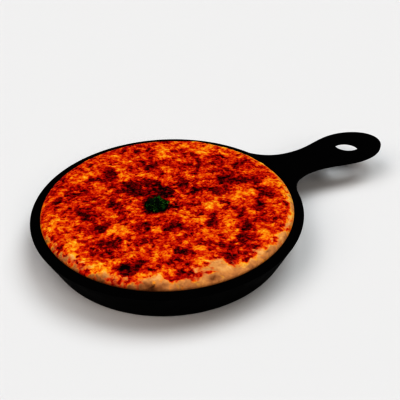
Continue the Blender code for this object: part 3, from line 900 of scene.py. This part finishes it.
def oval_weight(x, y, oval):
    """How strongly a named oval acts at each point, 1 in its middle."""
    centre_x, centre_y, half_length, half_width, turn = oval
    cosine = math.cos(math.radians(turn))
    sine = math.sin(math.radians(turn))
    across_x = x / MM - centre_x
    across_y = y / MM - centre_y
    along = (across_x * cosine + across_y * sine) / half_length
    aside = (across_y * cosine - across_x * sine) / half_width
    return np.exp(-(along * along + aside * aside))


def relief(x, y, lumps):
    """Height of blisters, mounds and lumps over the plain top."""
    height = np.zeros_like(x)
    for oval in BLISTERS:
        height += BLISTER_HEIGHT * oval_weight(x, y, oval)
    for oval in MOUNDS:
        height += MOUND_HEIGHT * oval_weight(x, y, oval)
    for centre_x, centre_y, reach, rise in lumps:
        height += rise * np.exp(-((x - centre_x) ** 2 + (y - centre_y) ** 2) / reach ** 2)
    return np.maximum(height, LOWEST_HOLLOW)


def seat_ease(x, y):
    """Falls to nothing under the herbs, so that they rest on a level place."""
    return smoothstep((np.hypot(x - HERB_X, y - HERB_Y) - HERB_SEAT_RADIUS) / HERB_SEAT_BLEND)


def under_height(radius, edge):
    """Height of the topping's underside, which thins out towards its edge."""
    least = EDGE_DIP + EDGE_THICKNESS
    inward = smoothstep((edge - radius) / FEATHER_WIDTH)
    return shoulder(radius) - least - (TOPPING_THICKNESS - least) * inward


def dough_height(radius, edge):
    """Height of the dough under the topping, which rises at the topping's edge and takes it in."""
    depth = TOPPING_THICKNESS + GAP - CRUST_LIP_DROP
    return shoulder(radius) - CRUST_LIP_DROP - depth * smoothstep((edge - radius) / CRUST_LIP_WIDTH)


def all_spots():
    """The named dark spots and seeded small scorched ones between them."""
    chance = random.Random(SPOT_SEED)
    spots = list(DARK_SPOTS)
    for _ in range(SPOT_COUNT):
        x, y = polar(SPOT_REACH * math.sqrt(chance.random()), chance.uniform(0.0, 360.0))
        spots.append((x, y, chance.uniform(SPOT_SMALLEST, SPOT_LARGEST)))
    return spots


SPOTS = all_spots()


def warped(value, x, y, seed):
    """A coordinate with the shifts that make the outlines of the marks uneven."""
    for step, (reach, cell) in enumerate(WARPS):
        value = value + reach * gradient_noise(x, y, cell, seed + 2 * step)
    return value


def bake_scale(x, y):
    """How each place has baked: below zero is browned, above zero is pale cheese; painted shade under and
    just around the herbs also lowers it.
    """
    bake = MOTTLE_BAKE * layered_noise(x, y, *MOTTLE)
    bake += BROAD_BAKE * gradient_noise(x, y, *BROAD_MOTTLE)
    warp_x = warped(x, x, y, WARP_SEED)
    warp_y = warped(y, x, y, WARP_SEED + 1)
    for ovals, weight in OVAL_BAKES:
        for oval in ovals:
            bake += weight * oval_weight(warp_x, warp_y, oval)
    for centre_x, centre_y, radius in SPOTS:
        away = np.hypot(warp_x / MM - centre_x, warp_y / MM - centre_y) / radius
        bake += SPOT_BAKE * np.exp(-away ** 2)
    # Painted shade under and just around the herbs
    bake += HERB_SHADE_BAKE * np.exp(-(np.hypot(x - HERB_X, y - HERB_Y) / HERB_SHADE_RADIUS) ** 6)
    bake += rim_cheese(x, y) + STRIP_BAKE * rim_band(x, y, BROWN_STRIP)
    return np.where(bake < SCORCH_START, SCORCH_START + SCORCH_SHARE * (bake - SCORCH_START), bake)


def rim_band(x, y, band):
    """1 in the middle of a named band beside the pan, 0 away from it."""
    middle, half_angle, start, width = band
    radius, degrees = radius_and_angle(x, y)
    return bell(degrees, middle, half_angle, 4) * step_up(radius, start, width)


def rim_cheese(x, y):
    """Paler cheese that has run out to the pan: narrow at the upper right, wider and streaky at the left."""
    radius, degrees = radius_and_angle(x, y)
    along = np.radians(degrees) * PIZZA_EDGE_RADIUS
    streaks = np.maximum(gradient_noise(STREAK_SQUEEZE * radius, along, *RIM_STREAKS), 0.0)
    left = (LEFT_CHEESE_BAKE + STREAK_BAKE * streaks) * rim_band(x, y, LEFT_CHEESE)
    return RIGHT_CHEESE_BAKE * rim_band(x, y, RIGHT_CHEESE) + left


def recess(edge, depth):
    """How far the topping stands back from the pan, 1 from a given depth on."""
    return smoothstep((TOPPING_RADIUS - edge) / depth)


def golden_border(x, y, edge):
    """The sauce is thin and the cheese golden where the topping comes to its end on bare crust."""
    inward = np.maximum(edge - np.hypot(x, y), 0.0) / GOLDEN_WIDTH
    return GOLDEN_BAKE * recess(edge, RECESS_DEPTH) * np.exp(-inward ** 2)


def bare_share(x, y, edge):
    """How far the dough shows: 0 under thick topping, about 0.4 at the topping's edge, 1 on bare crust."""
    radius, degrees = radius_and_angle(x, y)
    out = (radius - edge) / BORDER_WIDTH - BORDER_SHIFT
    beside_crust = recess(edge, RECESS_DEPTH) * 0.5 * (1.0 + np.tanh(out))
    beside_crust *= 1.0 - COVERED_SHARE * smoothstep((COVERED_START - degrees) / COVERED_FADE)
    # Partly painted light: the right front rim stays pale dough as if better lit
    rim = RIM_BARE - RIM_BARE_LOSS * step_up(degrees, RIM_LOSS_START, RIM_LOSS_FADE)
    rim *= bell(degrees, FRONT_MIDDLE, RIM_HALF_ANGLE, 6) * step_up(radius, RIM_START, RIM_WIDTH)
    bare = np.maximum(beside_crust, rim)
    bare = np.maximum(bare, STRIP_BARE * rim_band(x, y, BROWN_STRIP))
    bare += PATCH_BARE * layered_noise(x, y, *THIN_PATCHES) * smoothstep(bare / COVERED_BELOW)
    for oval in CRUST_STAINS:
        bare += STAIN_BARE * oval_weight(x, y, oval) * smoothstep(bare / COVERED_BELOW)
    for oval in CRUST_TOASTS:
        bare += TOAST_BARE * oval_weight(x, y, oval)
    return bare


def toast_and_shade_share(x, y, edge):
    """How brown the dough is: palest beside the cheese, more towards the pan, where painted shade adds to
    the real browning, and at the named places.
    """
    radius, degrees = radius_and_angle(x, y)
    # Painted shade and real browning together darken the dough towards the pan wall
    toast_and_shade_at_pan = TOAST_AND_SHADE_AT_PAN - TOAST_AND_SHADE_AT_PAN_LOSS * bell(degrees, FRONT_MIDDLE, TOAST_HALF_ANGLE, 4)
    toast_and_shade = TOAST_LEAST + TOAST_OUTWARD * step_up(radius, edge, TOAST_OUTWARD_WIDTH)
    toast_and_shade += toast_and_shade_at_pan * step_up(radius, DARKENING_RIM_START, DARKENING_RIM_WIDTH)
    toast_and_shade += TOAST_PATCH * layered_noise(x, y, *TOAST_PATCHES)
    for oval in CRUST_TOASTS:
        toast_and_shade += TOAST_MARK * oval_weight(x, y, oval)
    return toast_and_shade


class Shades:
    """The numbers that colour a pizza mesh, gathered ring by ring."""

    def __init__(self):
        self.rings = {"bake": [], "bare": [], "toast_and_shade": []}

    def add(self, bake, bare, toast_and_shade):
        """Add one ring, each value a number or one number for each direction."""
        for name, value in (("bake", bake), ("bare", bare), ("toast_and_shade", toast_and_shade)):
            self.rings[name].append(np.broadcast_to(value, PIZZA_SIDES))

    def add_fields(self, x, y, edge, bake):
        """Add one ring of points that shows, from its places and their bake."""
        self.add(bake + golden_border(x, y, edge), bare_share(x, y, edge), toast_and_shade_share(x, y, edge))

    def store(self, mesh):
        """Write the rings to the mesh; the first and last ring's means serve for its two poles."""
        for name, rings in self.rings.items():
            add_attribute(mesh, name, np.concatenate([*rings, [rings[0].mean(), rings[-1].mean()]]))


def directions():
    """The angles, in degrees, that the pizza's rings share."""
    return np.arange(PIZZA_SIDES) * 360.0 / PIZZA_SIDES


def places(radius):
    """Places in plan at a radius in every direction."""
    turn = np.radians(directions())
    return radius * np.cos(turn), radius * np.sin(turn)


def ragged_edge():
    """The topping's edge with the small tongues and bays that the solid leaves out."""
    edge = topping_edge(directions())
    x, y = places(edge)
    share = TONGUE_LEAST + (1.0 - TONGUE_LEAST) * recess(edge, TONGUE_RECESS)
    return np.minimum(edge + TONGUE_REACH * layered_noise(x, y, *TONGUES) * share, RAGGED_LIMIT)


def ring_at(radius, height):
    """A ring of points from its radius and height in every direction."""
    return np.stack([*places(radius), height], axis=1)


def small_relief(x, y, bake):
    """The cheese's small relief, in which browned places lie a little lower than pale ones."""
    height = BAKE_RELIEF * np.tanh(bake) + PEBBLE_RELIEF * layered_noise(x, y, *PEBBLES)
    return height + SWELL_RELIEF * layered_noise(x, y, *SWELLS)


def build_topping():
    """Sauce and browned cheese over the dough."""
    lumps = make_lumps()
    edge = ragged_edge()
    rings = []
    shades = Shades()
    for step in range(1, TOPPING_RINGS + 1):
        radius = edge * (1.0 - (1.0 - step / TOPPING_RINGS) ** RING_CROWDING)
        x, y = places(radius)
        bake = bake_scale(x, y)
        inward = smoothstep((edge - radius) / EDGE_DIP_WIDTH)
        raised = (relief(x, y, lumps) + small_relief(x, y, bake)) * seat_ease(x, y)
        height = shoulder(radius) + raised * inward
        height -= EDGE_DIP * (1.0 - inward)
        height = np.maximum(height, under_height(radius, edge) + EDGE_THICKNESS)
        rings.append(ring_at(radius, height))
        shades.add_fields(x, y, edge, bake)
    for share in UNDER_SHARES[::-1]:
        rings.append(ring_at(share * edge, under_height(share * edge, edge)))
        shades.add(-0.5, 0.0, 0.3)
    top = (0.0, 0.0, float(shoulder(0.0)))
    bottom = (0.0, 0.0, float(shoulder(0.0) - TOPPING_THICKNESS))
    mesh = ring_mesh("cheese_and_sauce", rings, top, bottom)
    shades.store(mesh)
    look = pizza_look("browned_cheese")
    finish_piece(link_mesh("cheese_and_sauce", mesh, look), "topping")


def cavity_profile():
    """The dough's section where it meets the pan, from the floor's corner up to the wall's top."""
    flare = math.atan2(RIM_INNER_RADIUS - FLOOR_CORNER_RADIUS, RIM_HEIGHT - FLOOR_THICKNESS)
    floor = FLOOR_THICKNESS + GAP

    def wall(height):
        return FLOOR_CORNER_RADIUS + (height - FLOOR_THICKNESS) * math.tan(flare) - GAP / math.cos(flare)

    corners = (
        (0.0, floor, 0.0),
        (wall(floor), floor, FLOOR_ROUNDING - GAP),
        (wall(CRUST_WALL_TOP), CRUST_WALL_TOP, 0.0),
    )
    return rounded_profile(corners, 1.2 * MM)[1:]


def pan_fade(radius):
    """Falls to nothing at the pan, so that the dough meets it at one height."""
    return smoothstep((PIZZA_EDGE_RADIUS - radius) / PAN_FADE_WIDTH)


def crumb(degrees, radius):
    """Soft swelling of the bare crust, as in the solids."""
    wave = np.sin(np.radians(5.0 * degrees)) + 0.7 * np.sin(np.radians(13.0 * degrees + 40.0))
    return CRUMB_RELIEF * wave * pan_fade(radius)


def build_crust():
    """The baked dough with its bare, browned edge."""
    edge = ragged_edge()
    rings = []
    shades = Shades()

    def add_ring(radius, height):
        """Add one ring that shows."""
        x, y = places(radius)
        rings.append(ring_at(radius, height))
        shades.add_fields(x, y, edge, bake_scale(x, y))

    for share in UNDER_SHARES:
        add_ring(share * edge, dough_height(share * edge, edge))
    for step in range(BARE_RINGS):
        share = (step + 0.5) / BARE_RINGS
        radius = edge + (PIZZA_EDGE_RADIUS - edge) * share
        x, y = places(radius)
        crags = CRAG_RELIEF * layered_noise(x, y, *CRAGS)
        crags += DENT_RELIEF * gradient_noise(x, y, *DENTS)
        fade = pan_fade(radius) * step_up(radius, edge, EDGE_FADE_WIDTH)
        outward = step_up(radius, edge, BARE_DROP_WIDTH)
        drop = CRUST_LIP_DROP + (BARE_CRUST_DROP - CRUST_LIP_DROP) * outward
        add_ring(radius, shoulder(radius) - drop + (crumb(directions(), radius) + crags) * fade)
    brim = np.full(PIZZA_SIDES, PIZZA_EDGE_RADIUS)
    add_ring(brim, np.full(PIZZA_SIDES, PIZZA_EDGE_HEIGHT - BARE_CRUST_DROP))
    for radius, height in cavity_profile()[::-1]:
        rings.append(circle(radius, height, PIZZA_SIDES))
        shades.add(0.0, 1.0, 0.75)
    top = (0.0, 0.0, float(shoulder(0.0) - TOPPING_THICKNESS - GAP))
    bottom = (0.0, 0.0, FLOOR_THICKNESS + GAP)
    mesh = ring_mesh("baked_crust", rings, top, bottom)
    shades.store(mesh)
    look = pizza_look("baked_dough")
    finish_piece(link_mesh("baked_crust", mesh, look), "crust")


# Herbs


def leaf_points(length, width, curl, wave, twist, phase):
    """Both faces of one thin wavy leaf bit on a small grid."""
    cells_long = 6
    cells_wide = 4
    rows = np.linspace(-1.0, 1.0, cells_long + 1)
    columns = np.linspace(-1.0, 1.0, cells_wide + 1)
    along, aside = np.meshgrid(rows, columns, indexing="ij")
    outline = 1.0 - 0.72 * np.abs(along) ** 2.2 + 0.10 * np.sin(5.0 * along + phase)
    x = 0.5 * length * along
    y = 0.5 * width * aside * outline
    z = wave * np.sin(2.6 * along + phase) + curl * aside ** 2 + twist * along * aside
    z += 0.35 * wave * np.sin(4.0 * aside + 3.0 * along + 2.0 * phase)
    top = np.stack([x, y, z + 0.5 * LEAF_THICKNESS], axis=2)
    under = np.stack([x, y, z - 0.5 * LEAF_THICKNESS], axis=2)
    return top, under


def leaf_faces(rows, columns):
    """Triangles of a closed two sided grid."""
    sheet = rows * columns
    faces = []
    for i in range(rows - 1):
        for j in range(columns - 1):
            a = i * columns + j
            b = a + columns
            faces += [(a, b, b + 1), (a, b + 1, a + 1)]
            faces += [(sheet + a, sheet + b + 1, sheet + b), (sheet + a, sheet + a + 1, sheet + b + 1)]
    border = [i * columns for i in range(rows)]
    border += [(rows - 1) * columns + j for j in range(1, columns)]
    border += [i * columns + columns - 1 for i in range(rows - 2, -1, -1)]
    border += list(range(columns - 2, 0, -1))
    for a, b in zip(border, border[1:] + border[:1]):
        faces.append((b, a, sheet + a, sheet + b))
    return faces


def herb_core():
    """The low mound under the leaves: its points and faces."""
    sides = 40
    base = PIZZA_TOP + GAP
    shape = ((0.35, 0.97), (0.65, 0.80), (0.88, 0.50), (1.0, 0.12), (1.0, 0.0))
    rings = []
    for width, rise in shape:
        ring = circle(HERB_CORE_RADIUS * width, base + HERB_CORE_HEIGHT * rise, sides)
        ring[:, :2] += (HERB_X, HERB_Y)
        rings.append(ring)
    top = (HERB_X, HERB_Y, base + HERB_CORE_HEIGHT)
    core = ring_mesh("herb_core", rings, top, (HERB_X, HERB_Y, base))
    points = [tuple(vertex.co) for vertex in core.vertices]
    faces = [tuple(face.vertices) for face in core.polygons]
    bpy.data.meshes.remove(core)
    return points, faces


def turned(points, lift, roll, turn):
    """Points tipped up, rolled and turned about the vertical, each by an angle."""
    tilt = [[math.cos(lift), 0, -math.sin(lift)], [0, 1, 0], [math.sin(lift), 0, math.cos(lift)]]
    bank = [[1, 0, 0], [0, math.cos(roll), -math.sin(roll)], [0, math.sin(roll), math.cos(roll)]]
    spin = [[math.cos(turn), -math.sin(turn), 0], [math.sin(turn), math.cos(turn), 0], [0, 0, 1]]
    return points @ (np.array(spin) @ np.array(bank) @ np.array(tilt)).T


def build_herbs():
    """A heap of chopped leaves over a low mound, laid in a spiral from its foot to its top."""
    chance = random.Random(HERB_SEED)
    base = PIZZA_TOP + GAP
    points, faces = herb_core()
    tints = [0.0] * len(points)
    for index in range(LEAF_COUNT):
        share = 1.0 - (index + 0.5) / LEAF_COUNT
        spread = (HERB_CORE_RADIUS + LEAF_OVERHANG) * math.sqrt(share)
        around = index * math.radians(LEAF_TURN)
        size = chance.uniform(0.65, 1.15)
        top, under = leaf_points(
            length=LEAF_LENGTH * size,
            width=LEAF_WIDTH * size * chance.uniform(0.8, 1.2),
            curl=chance.uniform(-0.5, 0.7) * MM,
            wave=chance.uniform(0.2, 0.6) * MM,
            twist=chance.uniform(-0.5, 0.5) * MM,
            phase=chance.uniform(0.0, 6.0),
        )
        rows, columns, _ = top.shape
        lift = chance.uniform(-0.45, 0.5)
        roll = chance.uniform(-0.5, 0.5)
        turn = chance.uniform(0.0, 2.0 * math.pi)
        cloud = turned(np.concatenate([top.reshape(-1, 3), under.reshape(-1, 3)]), lift, roll, turn)
        cloud += (HERB_X + spread * math.cos(around), HERB_Y + spread * math.sin(around), 0.0)
        cloud[:, 2] += base + HERB_CORE_HEIGHT * (HEAP_TOP - HEAP_FALL * share ** 1.5)
        cloud[:, 2] += max(0.0, base + LEAF_CLEARANCE - cloud[:, 2].min())
        start = len(points)
        points += [tuple(point) for point in cloud]
        faces += [tuple(start + corner for corner in face) for face in leaf_faces(rows, columns)]
        tints += [chance.choice(LEAF_TINTS)] * len(cloud)
    mesh = bpy.data.meshes.new("herb_leaves")
    mesh.from_pydata(points, [], faces)
    mesh.update()
    add_attribute(mesh, "tint", tints)
    finish_piece(link_mesh("herb_leaves", mesh, herb_look()), "herbs")


# Stage


def build_floor():
    """A wide pale floor, level with the skillet's underside."""
    mesh = bpy.data.meshes.new("floor")
    half = FLOOR_HALF_SIZE
    corners = [(-half, -half, 0), (half, -half, 0), (half, half, 0), (-half, half, 0)]
    mesh.from_pydata(corners, [], [(0, 1, 2, 3)])
    link_mesh("floor", mesh, floor_look())


def build_lights():
    """Broad soft lights on four sides and a faint dome that looks as pale as the floor."""
    scene = bpy.context.scene
    world = bpy.data.worlds.new("soft_dome")
    world.use_nodes = True
    tree = world.node_tree
    background = tree.nodes["Background"]
    background.inputs["Color"].default_value = (1.0, 1.0, 1.0, 1.0)
    seen = tree.nodes.new("ShaderNodeMapRange")
    seen.inputs["To Min"].default_value = DOME_STRENGTH
    seen.inputs["To Max"].default_value = BACKDROP_STRENGTH
    tree.links.new(tree.nodes.new("ShaderNodeLightPath").outputs["Is Camera Ray"], seen.inputs["Value"])
    tree.links.new(seen.outputs["Result"], background.inputs["Strength"])
    scene.world = world
    for name, strength, spread, direction, colour in SOFT_LIGHTS:
        light = bpy.data.lights.new(name, "SUN")
        light.energy = strength
        light.angle = math.radians(spread)
        light.color = colour
        lamp = bpy.data.objects.new(name, light)
        lamp.rotation_euler = Vector(direction).to_track_quat("Z", "Y").to_euler()
        scene.collection.objects.link(lamp)
    scene.view_settings.view_transform = "Standard"
    scene.view_settings.look = "Very High Contrast"


def build_camera():
    """The photograph's viewpoint."""
    data = bpy.data.cameras.new("camera")
    data.sensor_width = SENSOR_WIDTH
    data.lens = FOCAL_PIXELS / IMAGE_SIZE * SENSOR_WIDTH
    data.clip_start = 0.01
    data.clip_end = 20.0
    camera = bpy.data.objects.new("camera", data)
    place = Vector(CAMERA_PLACE)
    camera.location = place
    camera.rotation_euler = (Vector(CAMERA_AIM) - place).to_track_quat("-Z", "Y").to_euler()
    bpy.context.scene.collection.objects.link(camera)
    bpy.context.scene.camera = camera


build_camera()
build_lights()
build_floor()
build_skillet()
build_crust()
build_topping()
build_herbs()
